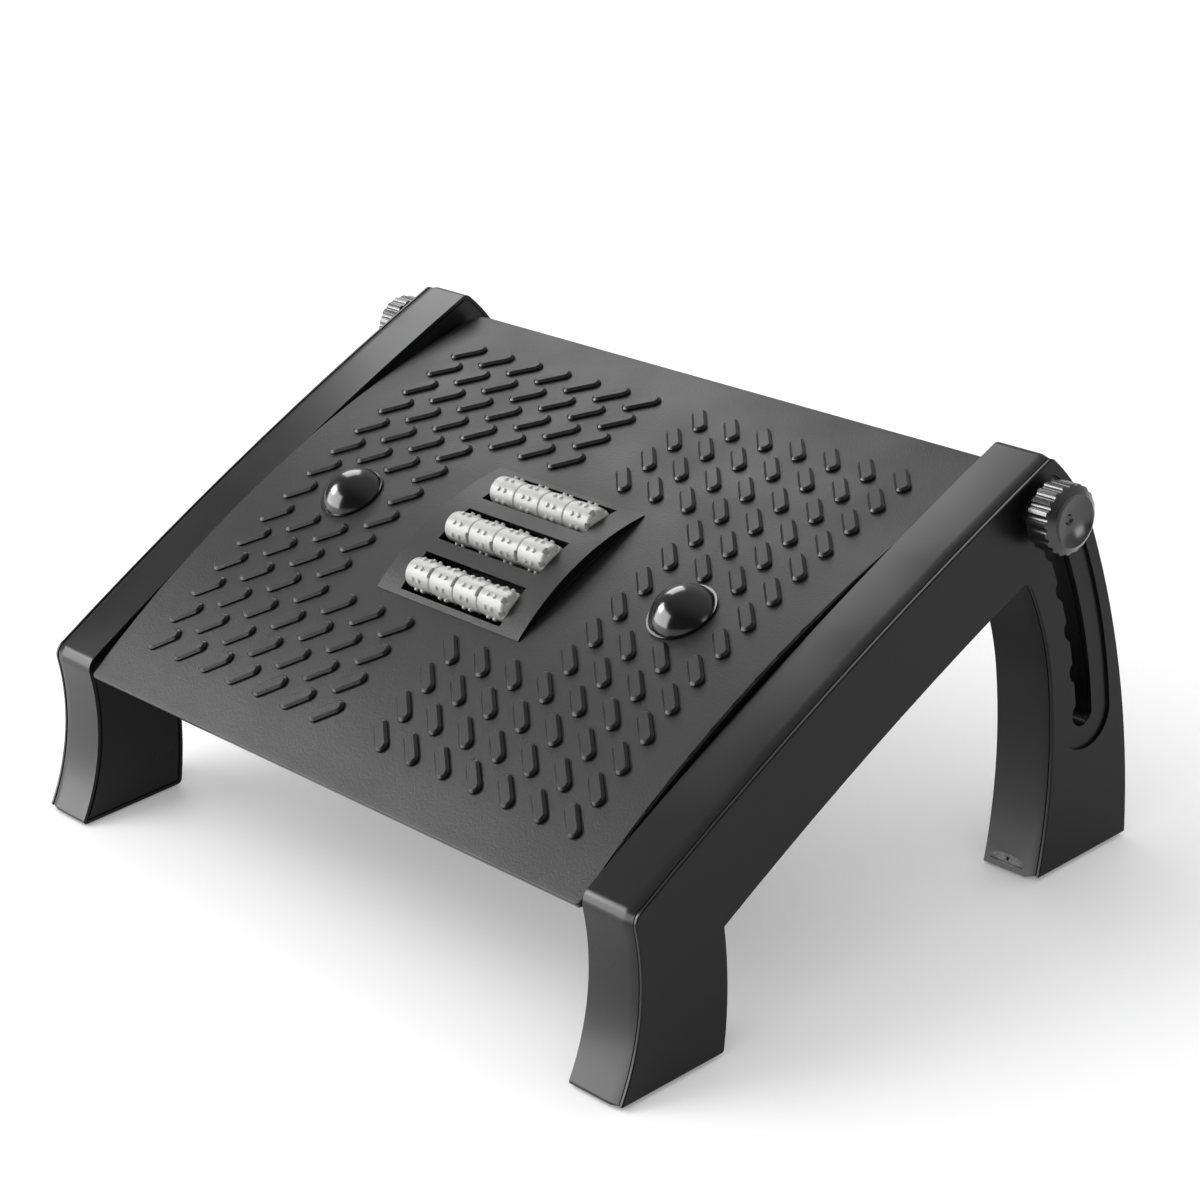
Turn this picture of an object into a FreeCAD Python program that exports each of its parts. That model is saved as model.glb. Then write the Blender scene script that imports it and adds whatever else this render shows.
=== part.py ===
import FreeCAD, Part
import os
from math import asin, atan2, cos, degrees, pi, radians, sin, sqrt

from FreeCAD import Vector

# Under-desk footrest. All lengths are in millimetres.
# X runs from left to right, -Y is the user's side, +Z is up.
# The origin is on the floor, under the middle of the footrest.

# Whole object
frame_width = 450.0
frame_thickness = 33.25
pad_proud = 1.0
overrun = 1.0
seat_gap = 0.05
running_gap = 0.05
moving_gap = 0.3

# Front pivot and the height slot, an arc round it
height_settings = 6
tilt_range_deg = 24.5
pivot_reach = 38.0
pivot_height = 81.0
slot_radius = 251.0
slot_low_height = 70.0
slot_reach = pivot_reach + slot_radius
slot_low_deg = degrees(asin((slot_low_height - pivot_height) / slot_radius))
slot_high_deg = slot_low_deg + tilt_range_deg
slot_top = pivot_height + slot_radius * sin(radians(slot_high_deg))

# Side frame outline, from the toe and the foot's underside; the rear leg stands round the slot
toe_setback = 19.5
shoulder_height = 81.8
toe_face_hollow = 7.8
foot_depth = 60.3
foot_rear_reach = 68.4
foot_rear_height = 57.4
foot_rear_bulge = 2.0
crest_before_slot = 9.5
crest_reach = slot_reach - crest_before_slot
crest_over_slot = 23.8
crest_height = slot_top + crest_over_slot
rail_crown = 4.7
rail_underside_crown = 3.2
back_knee_behind_slot = 14.0
back_knee_reach = slot_reach + back_knee_behind_slot
back_knee_under_slot = 18.0
back_knee_height = slot_top - back_knee_under_slot
back_upper_bulge = 3.1
back_lower_bulge = 7.7
heel_behind_slot = 22.8
heel_reach = slot_reach + heel_behind_slot
leg_toe_before_slot = 37.7
leg_toe_reach = slot_reach - leg_toe_before_slot
leg_waist_before_slot = 20.7
leg_waist_reach = slot_reach - leg_waist_before_slot
leg_waist_height = 93.0
leg_lower_hollow = 4.1
arch_before_slot = 30.4
arch_reach = slot_reach - arch_before_slot
arch_under_slot = 30.4
arch_height = slot_top - arch_under_slot
leg_upper_hollow = 2.5
shoulder_radius = 8.0
crest_radius = 4.5
arch_radius = 3.5
foot_heel_radius = 3.0
toe_radius = 1.6

# Side frame shell
rim_wall = 2.6
inner_wall = 2.6
rim_bevel_width = 5.2
rim_bevel_drop = 1.2
rim_line_inset = 1.5
rim_line_width = 1.1
rim_line_depth = 0.8
heel_mark_width = 20.0
heel_mark_rise = 3.6
heel_mark_depth = 0.6
heel_mark_lift = 3.2
heel_mark_across = 13.5
heel_mark_hole = 0.9
heel_mark_hole_depth = 2.0

# Outer side cover
cover_edge = 1.7
cover_shadow_gap = 0.8
cover_inset = 1.0
cover_spigot_depth = 3.0
cover_spigot_gap = 0.2
cover_bevel = 0.5
cover_boss_radius = 4.2
cover_screw_radius = 1.5
cover_screw_head_radius = 3.0
cover_screw_head = 1.8
cover_wall = 2.1
cover_spigot_wall = 2.0
cover_screw_reaches = (48.0, 94.0, 168.0, 240.0)
cover_screw_heights = (64.0, 96.0, 129.0, 161.0)
leg_screw_behind_slot = 1.0
leg_screw_height = 26.0
cover_screw_places = list(zip(cover_screw_reaches, cover_screw_heights))
cover_screw_places.append((slot_reach + leg_screw_behind_slot, leg_screw_height))

# Height slot's width: round the bolt, past the teeth and at the back
clamp_bolt_radius = 3.5
slot_bolt_room = 2.7
slot_tooth_gap = 0.3
slot_rear_room = 0.4
slot_half_width = clamp_bolt_radius + slot_bolt_room
slot_front_land = clamp_bolt_radius + slot_tooth_gap
slot_rear_land = slot_half_width + slot_rear_room
slot_recess_half_width = 16.9
slot_recess_depth = 1.5
slot_tunnel_wall = 2.2

# Rubber pads under the feet
pad_thickness = 1.8
pad_inner_margin = 4.5
pad_outer_margin = 9.5
pad_end_share = 0.083
pad_corner_share = 0.208

# Tread platform
platform_front_reach = 19.5
platform_front_height = 76.8
platform_back_past_clamp = 12.76
platform_back_over_clamp = 11.62
platform_crown = 16.0
platform_side_gap = 2.0
platform_plate = 2.8
platform_corner_front = 3.0
platform_corner_back = 10.0
platform_edge_radius = 1.0
skirt_side_inset = 6.5
skirt_end_inset = 1.0
skirt_wall = 2.4
skirt_depth = 12.0
lip_depth = 5.6
lip_length = 9.0
rib_wall = 2.0
long_rib_places = (78.0, 150.0)
cross_rib_places = (-84.0, 84.0)

# Raised grip bars
bar_columns = 7
bar_rows = 14
bar_column_pitch = 22.76
bar_row_share = 0.0597
bar_inner_column = 21.2
bar_length = 19.8
bar_radius = 3.6
bar_proud = 2.1
bar_bevel = 1.1
bar_ridge = 2.3
bar_sunk = 1.0
bar_angle_deg = 41.6
bar_outer_block = 4
bar_full_rows = 4

# Massage domes
dome_radius = 16.0
dome_height = 11.8
dome_rim_radius = 17.0
dome_rim = 1.0
dome_stem_radius = 4.0
dome_stem_gap = 0.1
dome_clip_radius = 8.0
dome_clip = 1.2
dome_stem_end = 2.4

# Roller insert
sleeve_width = 98.4
sleeve_length = 84.0
insert_side_flange = 4.3
insert_end_flange = 1.85
insert_bar_gap = 0.4
insert_width = sleeve_width + 2 * insert_side_flange
insert_length = sleeve_length + 2 * insert_end_flange
insert_rise = 6.3
insert_edge = 0.5
insert_panel = 2.2
insert_rim = 0.9
insert_side_recess = 1.2
sleeve_wall = 2.0
sleeve_end_wall = 1.2
sleeve_depth = 9.0
sleeve_gap = 0.4
window_side_margin = 11.7
window_share = 0.262
window_end_margin = 1.2
window_width = sleeve_width - 2 * window_side_margin
window_length = sleeve_length * window_share
window_pitch = (sleeve_length - window_end_margin - window_length) / 2
axle_rib = 3.0
axle_rib_gap = 0.9
insert_boss_radius = 3.2
insert_boss_bury = 1.0
insert_screw_radius = 1.4
insert_screw_head_radius = 3.0
insert_screw_head = 1.8
insert_screw_bite = 8.0
tab_thickness = 2.2
tab_length = 11.0

# Rollers
axle_radius = 1.5
axle_seat_gap = 0.025
axle_end_margin = 4.2
axle_half_length = sleeve_width / 2 - axle_end_margin
axle_depth = 2.0
bead_count = 4
bead_gap = 0.1
roller_end_gap = 0.9
bead_window_gap = 3.3
bead_barrel = 0.4
bead_radius = window_length / 2 - bead_window_gap
bead_end_radius = bead_radius - bead_barrel
bead_end_round = 0.6
bead_slits = 2
bead_slit_width = 1.7
bead_slit_depth = 3.2
bead_slit_deg = 46.0
end_bead_slits = 6
end_bead_slit_deg = 25.0
row_turn_deg = 52.0
nub_rows = 8
nub_radius = 1.4
nub_tip_radius = 0.9
nub_proud = 1.0
nub_sunk = 1.0
nub_spacing = 4.6

# Front pivot
pivot_pin_radius = 3.0
pivot_bush_wall = 1.4
pivot_bush_flange = 1.2
pivot_bush_flange_radius = 6.4
pivot_head_radius = 5.6
pivot_head = 3.0
pivot_socket_depth = 1.6
pivot_socket_radius = 2.7
hexagon_sides = 6
pivot_boss_radius = 6.3
pivot_insert_radius = 4.0
pivot_insert_length = 9.0
boss_length = 20.0

# Height clamp
clamp_head_radius = 5.5
clamp_head = 4.0
clamp_insert_radius = 5.2
clamp_insert_length = 12.0
clamp_boss_radius = 8.2
clamp_washer_radius = 10.0
clamp_washer = 1.2
clamp_bolt_engagement = 10.0

# Knob
knob_radius = 16.1
knob_back = 5.0
knob_grip = 10.5
knob_bevel = 3.1
knob_bevel_width = 4.1
knob_hub_radius = 11.5
knob_dish_depth = 3.4
knob_dimple_radius = 2.6
knob_dimple_depth = 1.2
knob_flutes = 20
dish_middle_share = 0.72
dimple_floor_share = 0.6
knob_flute_radius = 2.0
knob_flute_depth = 0.9

half_width = frame_width / 2
frame_inner = half_width - frame_thickness
sides = {"left": -1, "right": 1}


# Each corner of the side view: reach, height, rise of the edge that leaves it, corner radius.
# A rise to the left of the way the edge runs is positive; a hollow corner's radius is negative.
frame_corners = [
    (0, 0, 0, toe_radius),
    (foot_depth, 0, -foot_rear_bulge, foot_heel_radius),
    (foot_rear_reach, foot_rear_height, rail_underside_crown, 0),
    (arch_reach, arch_height, leg_upper_hollow, -arch_radius),
    (leg_waist_reach, leg_waist_height, leg_lower_hollow, 0),
    (leg_toe_reach, 0, 0, 0),
    (heel_reach, 0, -back_lower_bulge, 0),
    (back_knee_reach, back_knee_height, -back_upper_bulge, 0),
    (crest_reach, crest_height, -rail_crown, crest_radius),
    (toe_setback, shoulder_height, toe_face_hollow, shoulder_radius),
]


def side_curve(start, end, rise, inset):
    # An edge of the side view moved inwards: a circle's (centre, radius), or a line's (point, way).
    chord = end - start
    left = Vector(0, -chord.z, chord.y)
    left.normalize()
    if rise == 0:
        way = Vector(chord)
        way.normalize()
        return ("line", start + left * inset, way)
    radius = chord.Length ** 2 / (8 * abs(rise)) + abs(rise) / 2
    turn = 1 if rise > 0 else -1
    centre = (start + end) * 0.5 + left * (rise - turn * radius)
    return ("circle", centre, radius + turn * inset)


def nearest_on(curve, place):
    # The place on a curve that is nearest to a given one.
    kind, origin, value = curve
    if kind == "line":
        return origin + value * (place - origin).dot(value)
    way = place - origin
    way.normalize()
    return origin + way * value


def crossing(first, second, near):
    # Where two curves meet, on the side that is nearer to a given place.
    if first[0] == "line":
        first, second = second, first
    centre, radius = first[1], first[2]
    if second[0] == "line":
        foot = nearest_on(second, centre)
        half = sqrt(radius ** 2 - (foot - centre).Length ** 2)
        along = second[2]
    else:
        span = second[1] - centre
        run = (radius ** 2 - second[2] ** 2 + span.Length ** 2) / (2 * span.Length)
        span.normalize()
        foot = centre + span * run
        half = sqrt(radius ** 2 - run ** 2)
        along = Vector(0, -span.z, span.y)
    return min((foot + along * half, foot - along * half), key=lambda place: (place - near).Length)


def side_outline(inset):
    # The side view of the frame, moved inwards by inset, in the plane X = 0.
    count = len(frame_corners)
    places = [Vector(0, reach, height) for reach, height, rise, radius in frame_corners]

    def curve(index, extra):
        rise = frame_corners[index % count][2]
        return side_curve(places[index % count], places[(index + 1) % count], rise, inset + extra)

    stops = []
    edges = []
    for index, place in enumerate(places):
        radius = frame_corners[index][3]
        corner = crossing(curve(index - 1, 0), curve(index, 0), place)
        if radius > inset or radius < 0:
            centre = crossing(curve(index - 1, radius - inset), curve(index, radius - inset), corner)
            before = nearest_on(curve(index - 1, 0), centre)
            after = nearest_on(curve(index, 0), centre)
            outward = corner - centre
            outward.normalize()
            edges.append(Part.Arc(before, centre + outward * abs(radius - inset), after).toShape())
            stops.append((before, after))
        else:
            stops.append((corner, corner))
    for index in range(count):
        start = stops[index][1]
        end = stops[(index + 1) % count][0]
        if frame_corners[index][2] == 0:
            edges.append(Part.LineSegment(start, end).toShape())
        else:
            middle = nearest_on(curve(index, 0), (start + end) * 0.5)
            edges.append(Part.Arc(start, middle, end).toShape())
    return Part.Face(Part.Wire(Part.__sortEdges__(edges)))


def slab(face, x_from, x_to):
    # A side-view face given thickness, between two places along X.
    moved = face.copy()
    moved.translate(Vector(x_from, 0, 0))
    return moved.extrude(Vector(x_to - x_from, 0, 0))


def rod(radius, x_from, x_to, reach, height):
    return Part.makeCylinder(radius, x_to - x_from, Vector(x_from, reach, height), Vector(1, 0, 0))


def fuse_all(shapes):
    return shapes[0].multiFuse(shapes[1:]).removeSplitter() if len(shapes) > 1 else shapes[0]


def slot_place(angle_deg):
    # A place on the bolt's path, at an angle above the pivot's level.
    angle = radians(angle_deg)
    return Vector(0, pivot_reach + slot_radius * cos(angle), pivot_height + slot_radius * sin(angle))


clamp_place = slot_place(slot_high_deg)


def arc_slot_face(inner, outer, end_radius):
    # A slot bent round the pivot, reaching inner and outer mm off the bolt's path.
    pivot = Vector(0, pivot_reach, pivot_height)

    def polar(radius, angle_deg):
        angle = radians(angle_deg)
        return pivot + Vector(0, radius * cos(angle), radius * sin(angle))

    near = slot_radius - inner
    far = slot_radius + outer
    middle = (slot_low_deg + slot_high_deg) / 2
    mean = (near + far) / 2
    tip = degrees(end_radius / mean)
    low_far = polar(far, slot_low_deg)
    low_near = polar(near, slot_low_deg)
    high_far = polar(far, slot_high_deg)
    high_near = polar(near, slot_high_deg)
    return Part.Face(Part.Wire([
        Part.Arc(low_far, polar(far, middle), high_far).toShape(),
        Part.Arc(high_far, polar(mean, slot_high_deg + tip), high_near).toShape(),
        Part.Arc(high_near, polar(near, middle), low_near).toShape(),
        Part.Arc(low_near, polar(mean, slot_low_deg - tip), low_far).toShape(),
    ]))


def notched_slot(x_from, x_to):
    # The cover's slot: a plain channel with a round notch for each height on its front side.
    channel_end = (slot_front_land + slot_rear_land) / 2
    cutters = [slab(arc_slot_face(slot_front_land, slot_rear_land, channel_end), x_from, x_to)]
    for setting in range(height_settings):
        angle = slot_low_deg + tilt_range_deg * setting / (height_settings - 1)
        place = slot_place(angle)
        cutters.append(rod(slot_half_width, x_from, x_to, place.y, place.z))
    return fuse_all(cutters)


rim_end = half_width - cover_edge - cover_shadow_gap
cover_boss_face = half_width - cover_edge - cover_spigot_depth
frame_boss_end = cover_boss_face - seat_gap


def bevelled_slab(inset, x_from, x_to, width, drop):
    # The side view given thickness, its outer edge bevelled all round.
    body = slab(side_outline(inset), x_from, x_to - width)
    wide_end = side_outline(inset).OuterWire
    wide_end.translate(Vector(x_to - width, 0, 0))
    narrow_end = side_outline(inset + drop).OuterWire
    narrow_end.translate(Vector(x_to, 0, 0))
    return body.fuse(Part.makeLoft([wide_end, narrow_end], True, True))


def heel_mark():
    # A shallow arched pocket with a small blind hole, low on the rear leg's front face.
    toe = Vector(0, leg_toe_reach, 0)
    waist = Vector(0, leg_waist_reach, leg_waist_height)
    curve = side_curve(waist, toe, leg_lower_hollow, 0)
    place = nearest_on(curve, toe + Vector(0, 0, heel_mark_lift)) + Vector(frame_inner + heel_mark_across, 0, 0)
    inward = Vector(0, place.y - curve[1].y, place.z - curve[1].z)
    inward = inward * (1 if inward.y > 0 else -1)
    inward.normalize()
    up = Vector(0, -inward.z, inward.y)
    outside = place - inward * overrun
    ends = [outside + Vector(side * heel_mark_width / 2, 0, 0) for side in (-1, 1)]
    arch = Part.Arc(ends[0], outside + up * heel_mark_rise, ends[1]).toShape()
    sill = Part.LineSegment(ends[1], ends[0]).toShape()
    pocket = Part.Face(Part.Wire([arch, sill])).extrude(inward * (overrun + heel_mark_depth))
    hole = Part.makeCylinder(heel_mark_hole, overrun + heel_mark_hole_depth,
                             outside + up * (heel_mark_rise / 2), inward)
    return pocket.fuse(hole)


def side_frame():
    # The main moulding: a rim round the outline, closed on the inner side.
    body = bevelled_slab(0, frame_inner, rim_end, rim_bevel_width, rim_bevel_drop)
    body = body.cut(slab(side_outline(rim_wall), frame_inner + inner_wall, half_width))
    line_ring = side_outline(rim_line_inset).cut(side_outline(rim_line_inset + rim_line_width))
    body = body.cut(slab(line_ring, frame_inner - overrun, frame_inner + rim_line_depth))
    wide = slot_half_width + slot_tunnel_wall
    additions = [body, slab(arc_slot_face(wide, wide, wide), frame_inner + inner_wall / 2, frame_boss_end)]
    for reach, height in cover_screw_places:
        additions.append(rod(cover_boss_radius, frame_inner + inner_wall / 2, frame_boss_end, reach, height))
    body = fuse_all(additions)
    bush_hole = pivot_pin_radius + running_gap + pivot_bush_wall
    cutters = [slab(arc_slot_face(slot_half_width, slot_half_width, slot_half_width),
                    frame_inner - overrun, half_width)]
    cutters.append(rod(bush_hole, frame_inner - overrun, frame_inner + inner_wall + overrun,
                       pivot_reach, pivot_height))
    outside = frame_inner - overrun
    for reach, height in cover_screw_places:
        cutters.append(rod(cover_screw_radius + running_gap, outside, half_width, reach, height))
        cutters.append(rod(cover_screw_head_radius + running_gap, outside, frame_inner + cover_screw_head,
                           reach, height))
    body = body.cut(Part.makeCompound(cutters + pad_blocks(seat_gap, overrun)))
    return body.cut(heel_mark())


def pad_blocks(margin, deeper):
    # The two pad shapes under a side frame, grown by a margin for their pockets.
    blocks = []
    for start, end in ((0, foot_depth), (leg_toe_reach, heel_reach)):
        x_from = frame_inner + pad_inner_margin - margin
        x_to = half_width - pad_outer_margin + margin
        end_margin = (end - start) * pad_end_share - margin
        y_from = start + end_margin
        y_to = end - end_margin
        top = pad_thickness - pad_proud
        block = Part.makeBox(x_to - x_from, y_to - y_from, pad_thickness + deeper,
                             Vector(x_from, y_from, top - pad_thickness - deeper))
        uprights = [edge for edge in block.Edges if edge.BoundBox.ZLength > pad_proud]
        blocks.append(block.makeFillet(pad_corner_share * min(x_to - x_from, y_to - y_from), uprights))
    return blocks


def side_cover():
    # The outer plate, with a spigot inside the rim and the notched height slot.
    plate = bevelled_slab(cover_inset, half_width - cover_edge, half_width, cover_bevel, cover_bevel)
    spigot_inset = rim_wall + cover_spigot_gap
    spigot = slab(side_outline(spigot_inset), cover_boss_face, half_width - cover_edge / 2)
    hollow = slab(side_outline(spigot_inset + cover_spigot_wall), cover_boss_face - overrun,
                  half_width - cover_wall)
    wide = slot_recess_half_width
    hollow = hollow.cut(slab(arc_slot_face(wide, wide, wide), cover_boss_face - overrun - overrun, half_width))
    for reach, height in cover_screw_places:
        hollow = hollow.cut(rod(cover_boss_radius, cover_boss_face - overrun - overrun, half_width, reach, height))
    cover = plate.fuse(spigot).cut(hollow)
    cutters = [slab(arc_slot_face(wide, wide, wide), half_width - slot_recess_depth, half_width + overrun)]
    cutters.append(notched_slot(cover_boss_face - overrun, half_width + overrun))
    for reach, height in cover_screw_places:
        cutters.append(rod(cover_screw_radius, cover_boss_face - overrun, half_width - cover_edge,
                           reach, height))
    for cutter in cutters:
        cover = cover.cut(cutter)
    return cover


def cover_screws():
    # Countersunk from the inner side, biting into the cover.
    head_from = frame_inner + seat_gap
    screws = []
    tip = half_width - cover_edge - seat_gap
    for reach, height in cover_screw_places:
        head = rod(cover_screw_head_radius, head_from, frame_inner + cover_screw_head, reach, height)
        shank = rod(cover_screw_radius, frame_inner + cover_screw_head, tip, reach, height)
        screws.append(head.fuse(shank).removeSplitter())
    return Part.makeCompound(screws)


# Platform: a plate bent to one arc, seen from the side
front_point = Vector(0, platform_front_reach, platform_front_height)
back_point = clamp_place + Vector(0, platform_back_past_clamp, platform_back_over_clamp)
tread_chord = (back_point - front_point).Length
tread_radius = tread_chord ** 2 / (8 * platform_crown) + platform_crown / 2
tread_slope = atan2(back_point.z - front_point.z, back_point.y - front_point.y)
tread_along = Vector(0, cos(tread_slope), sin(tread_slope))
tread_normal = Vector(0, -sin(tread_slope), cos(tread_slope))
tread_middle = (front_point + back_point) * 0.5 + tread_normal * platform_crown
tread_centre = tread_middle - tread_normal * tread_radius
tread_half_angle = asin(tread_chord / 2 / tread_radius)
platform_half_width = frame_inner - platform_side_gap


def tread_point(run, lift):
    # A place run mm along the tread from its middle, and lift mm above it.
    angle = run / tread_radius
    direction = tread_along * sin(angle) + tread_normal * cos(angle)
    return tread_centre + direction * (tread_radius + lift)


tread_half_run = tread_half_angle * tread_radius
bar_row_pitch = 2 * tread_half_run * bar_row_share


def tread_band(run_from, run_to, low, high):
    # The side view of a band that follows the tread's arc.
    middle = (run_from + run_to) / 2
    edges = [
        Part.LineSegment(tread_point(run_from, low), tread_point(run_from, high)).toShape(),
        Part.Arc(tread_point(run_from, high), tread_point(middle, high), tread_point(run_to, high)).toShape(),
        Part.LineSegment(tread_point(run_to, high), tread_point(run_to, low)).toShape(),
        Part.Arc(tread_point(run_to, low), tread_point(middle, low), tread_point(run_from, low)).toShape(),
    ]
    return Part.Face(Part.Wire(Part.__sortEdges__(edges)))


def local_box(x_from, x_to, run_half, low, high):
    # A straight-sided block on the tread's middle, square to it.
    corner = tread_middle - tread_along * run_half + tread_normal * low
    points = [corner, corner + tread_along * (2 * run_half),
              corner + tread_along * (2 * run_half) + tread_normal * (high - low),
              corner + tread_normal * (high - low)]
    wire = Part.makePolygon(points + [points[0]])
    return slab(Part.Face(wire), x_from, x_to)


def bar_outline(radius, height):
    # A stadium along X, its two ends round, at a height.
    straight = bar_length / 2 - bar_radius
    right = [Vector(straight, -radius, height), Vector(straight + radius, 0, height),
             Vector(straight, radius, height)]
    left = [Vector(-straight, radius, height), Vector(-straight - radius, 0, height),
            Vector(-straight, -radius, height)]
    return Part.Wire([
        Part.Arc(*right).toShape(),
        Part.LineSegment(right[2], left[0]).toShape(),
        Part.Arc(*left).toShape(),
        Part.LineSegment(left[2], right[0]).toShape(),
    ])


def plain_bar():
    # A bar standing on the tread at the origin, with a bevelled ridge, sunk in by its bevel.
    low = bar_proud - bar_bevel
    block = Part.Face(bar_outline(bar_radius, -bar_sunk)).extrude(Vector(0, 0, low + bar_sunk))
    ridge = Part.makeLoft([bar_outline(bar_radius, low), bar_outline(bar_ridge, bar_proud)], True, True)
    return block.fuse(ridge)


def grip_bar(plain, column, row):
    # One bar of the left half, turned in the tread's plane.
    run = bar_row_pitch * ((bar_rows - 1) / 2 - row)
    across = -bar_inner_column - bar_column_pitch * (bar_columns - 1 - column)
    base = tread_point(run, 0)
    bar = plain.copy()
    bar.rotate(Vector(0, 0, 0), Vector(0, 0, 1), bar_angle_deg)
    bar.rotate(Vector(0, 0, 0), Vector(1, 0, 0), degrees(tread_slope - run / tread_radius))
    bar.translate(Vector(across, base.y, base.z))
    return bar


def has_bar(column, row):
    # Rows are full at both ends, and open round the insert and the dome.
    from_end = min(row, bar_rows - 1 - row)
    if from_end < bar_full_rows:
        return True
    if from_end == bar_rows // 2 - 1:
        return column in (0, bar_outer_block - 1)
    return column < bar_outer_block


def grip_bars():
    # The left half's bars, those beside the insert cut back to its edge.
    plain = plain_bar()
    run = insert_length / 2 + insert_bar_gap
    band = tread_band(-run, run, -bar_sunk - overrun, bar_proud + overrun)
    insert_place = slab(band, -insert_width / 2 - insert_bar_gap, 0)
    bars = []
    for row in range(bar_rows):
        for column in range(bar_columns):
            if has_bar(column, row):
                bar = grip_bar(plain, column, row)
                beside = bar.common(insert_place).Volume > 0
                bars.append(bar.cut(insert_place) if beside else bar)
    return bars


dome_across = bar_inner_column + bar_column_pitch * (bar_columns - 1 - (bar_outer_block - 1) / 2)
boss_face = frame_inner - moving_gap
pivot_place = Vector(0, pivot_reach, pivot_height)


def rounded_plate():
    # The left half of the plate: round corners in plan, small at the lip, and a soft top edge.
    plate = slab(tread_band(-tread_half_run, tread_half_run, -platform_plate, 0), -platform_half_width, 0)
    for run, radius in ((-tread_half_run, platform_corner_front), (tread_half_run, platform_corner_back)):
        place = tread_point(run, -platform_plate / 2)
        edges = []
        for edge in plate.Edges:
            box = edge.BoundBox
            near = abs(box.Center.y - place.y) + abs(box.Center.z - place.z) < platform_plate
            if near and box.XMax < seat_gap - platform_half_width:
                edges.append(edge)
        plate = plate.makeFillet(radius, edges)
    rim = []
    for edge in plate.Edges:
        middle = edge.valueAt((edge.FirstParameter + edge.LastParameter) / 2)
        from_centre = (middle - tread_centre - Vector(middle.x, 0, 0)).Length
        if from_centre > tread_radius - seat_gap and middle.x < -seat_gap:
            rim.append(edge)
    return plate.makeFillet(platform_edge_radius, rim)


def half_platform():
    # The left half of the platform, with everything that has a twin on the right.
    body = fuse_all([rounded_plate()] + grip_bars())
    front = -tread_half_run + skirt_end_inset
    back = tread_half_run - skirt_end_inset
    under = -platform_plate / 2
    skirt = -platform_half_width + skirt_side_inset
    deep_from = front + lip_length
    parts = [slab(tread_band(front, front + skirt_wall, -lip_depth, under), skirt, 0)]
    parts.append(slab(tread_band(back - skirt_wall, back, -skirt_depth, under), skirt, 0))
    walls = [(skirt, skirt + skirt_wall)]
    walls += [(-place - rib_wall, -place) for place in long_rib_places]
    for x_from, x_to in walls:
        parts.append(slab(tread_band(front, deep_from + skirt_wall, -lip_depth, under), x_from, x_to))
        parts.append(slab(tread_band(deep_from, back, -skirt_depth, under), x_from, x_to))
    for run in cross_rib_places:
        parts.append(slab(tread_band(run, run + rib_wall, -skirt_depth, under), skirt, 0))
    for place, radius in ((clamp_place, clamp_boss_radius), (pivot_place, pivot_boss_radius)):
        parts.append(rod(radius, -boss_face, -boss_face + boss_length, place.y, place.z))
    hole_half = sleeve_width / 2 + sleeve_gap
    hole_run = sleeve_length / 2 + sleeve_gap
    wall_run = hole_run + rib_wall
    tread_drop = wall_run ** 2 / tread_radius / 2
    parts.append(local_box(-hole_half - rib_wall, 0, wall_run, -skirt_depth, under - tread_drop / 2))
    body = fuse_all([body] + parts)
    body = body.cut(local_box(-hole_half, overrun, hole_run, -skirt_depth - overrun, insert_rise))
    tabs = [screw_tab(-1, side_run, hole_half, hole_run) for side_run in (-1, 1)]
    body = fuse_all([body] + tabs)
    return body.cut(Part.makeCompound(left_cutters()))


def foot_platform():
    half = half_platform()
    return fuse_all([half, mirrored(half)])


def screw_tab(side_x, side_run, hole_half, hole_run):
    # A ledge in a corner of the opening, under the insert's screw boss.
    reach = hole_half + rib_wall / 2
    corner = local_box(-reach, reach, hole_run + rib_wall / 2, -skirt_depth, -skirt_depth + tab_thickness)
    keep = local_box(-tab_length / 2, tab_length / 2, tab_length / 2, -skirt_depth - overrun, 0)
    keep.translate(Vector(side_x * (reach - tab_length / 2), 0, 0))
    keep.translate(tread_along * (side_run * (hole_run - tab_length / 2 + rib_wall / 2)))
    return corner.common(keep)


def insert_boss_places():
    # Screw bosses stand in the sleeve's corners.
    inset = sleeve_wall + insert_boss_radius - insert_boss_bury
    across = sleeve_width / 2 - inset
    run = sleeve_length / 2 - inset + sleeve_wall - sleeve_end_wall
    return [(sx * across, sr * run) for sx in (-1, 1) for sr in (-1, 1)]


def local_rod(radius, x_place, run, low, high):
    start = tread_middle + tread_along * run + tread_normal * low + Vector(x_place, 0, 0)
    return Part.makeCylinder(radius, high - low, start, tread_normal)


def left_cutters():
    # Bores for the threaded inserts, the clamp bolt, the dome's stem and the insert's screws.
    cutters = []
    for place, radius, length in ((clamp_place, clamp_insert_radius, clamp_insert_length),
                                  (pivot_place, pivot_insert_radius, pivot_insert_length)):
        cutters.append(rod(radius, -boss_face - overrun, -boss_face + length, place.y, place.z))
    cutters.append(rod(clamp_bolt_radius + running_gap, -boss_face + clamp_insert_length / 2,
                       -boss_face + boss_length + overrun, clamp_place.y, clamp_place.z))
    cutters.append(local_rod(dome_stem_radius + dome_stem_gap, -dome_across, 0,
                             -platform_plate - overrun, overrun))
    for x_place, run in insert_boss_places():
        if x_place < 0:
            cutters.append(local_rod(insert_screw_radius + running_gap, x_place, run,
                                     -skirt_depth - overrun, -skirt_depth + tab_thickness + overrun))
    return cutters


# Roller insert, on the tread's middle
insert_half_run = insert_length / 2
insert_base_drop = insert_half_run ** 2 / (2 * tread_radius)
hump_height = insert_rise + insert_base_drop - insert_edge
hump_radius = insert_half_run ** 2 / (2 * hump_height) + hump_height / 2
hump_centre = tread_middle + tread_normal * (insert_rise - hump_radius)


def hump_point(run, lift):
    angle = run / hump_radius
    direction = tread_along * sin(angle) + tread_normal * cos(angle)
    return hump_centre + direction * (hump_radius + lift)


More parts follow.
